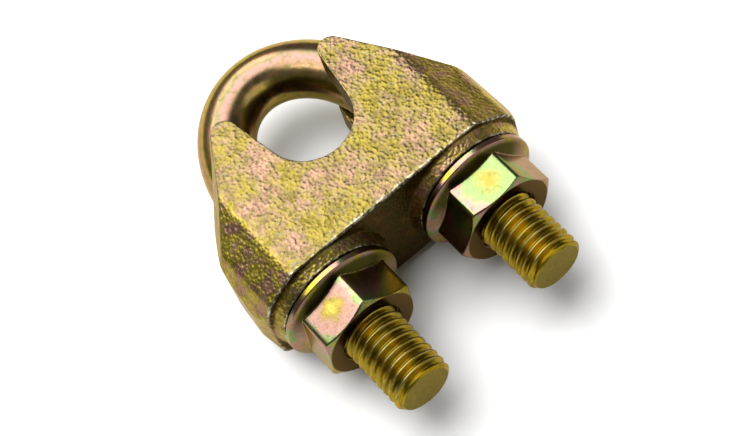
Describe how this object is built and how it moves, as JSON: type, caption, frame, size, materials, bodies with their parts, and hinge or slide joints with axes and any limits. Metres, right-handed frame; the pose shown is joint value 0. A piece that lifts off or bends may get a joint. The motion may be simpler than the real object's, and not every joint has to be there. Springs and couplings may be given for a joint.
{
  "type": "wire rope clip",
  "caption": "Wire rope clip: a U-bolt and a cast saddle clamp two rope parts together when the collar nuts on its threaded legs are tightened.",
  "frame": {"origin": "bottom centre of the whole clip's bounding box, on the plane of the saddle's back face", "axes": "+Y along the legs towards the bow, +X from the left leg to the right leg, +Z out of the saddle's front face"},
  "size_m": [0.0718, 0.0914, 0.032],
  "materials": {
    "saddle": "granular as-cast surface, zinc plated and yellow passivated",
    "u_bolt": "smooth bent rod with rolled threads, zinc plated and yellow passivated",
    "nut_left": "smooth forged faces, zinc plated and yellow passivated",
    "nut_right": "smooth forged faces, zinc plated and yellow passivated"
  },
  "bodies": {
    "u_bolt": {"u_bolt": "u_bolt"},
    "saddle": {"saddle": "saddle"},
    "nut_left": {"nut_left": "nut_left"},
    "nut_right": {"nut_right": "nut_right"}
  },
  "joints": [
    {"name": "saddle_travel", "type": "slide", "parent": "u_bolt", "child": "saddle", "axis": [0, 1, 0], "range_m": [-0.014, 0.006]},
    {"name": "nut_left_turn", "type": "hinge", "parent": "saddle", "child": "nut_left", "pos_m": [-0.019, 0, 0.016], "axis": [0, 1, 0], "range_deg": [-2520, 1080]},
    {"name": "nut_right_turn", "type": "hinge", "parent": "saddle", "child": "nut_right", "pos_m": [0.019, 0, 0.016], "axis": [0, 1, 0], "range_deg": [-2520, 1080]}
  ],
  "couplings": [
    {"joint": "nut_left_turn", "follows": "saddle_travel", "rad_per_m": 3141.6},
    {"joint": "nut_right_turn", "follows": "saddle_travel", "rad_per_m": 3141.6}
  ]
}
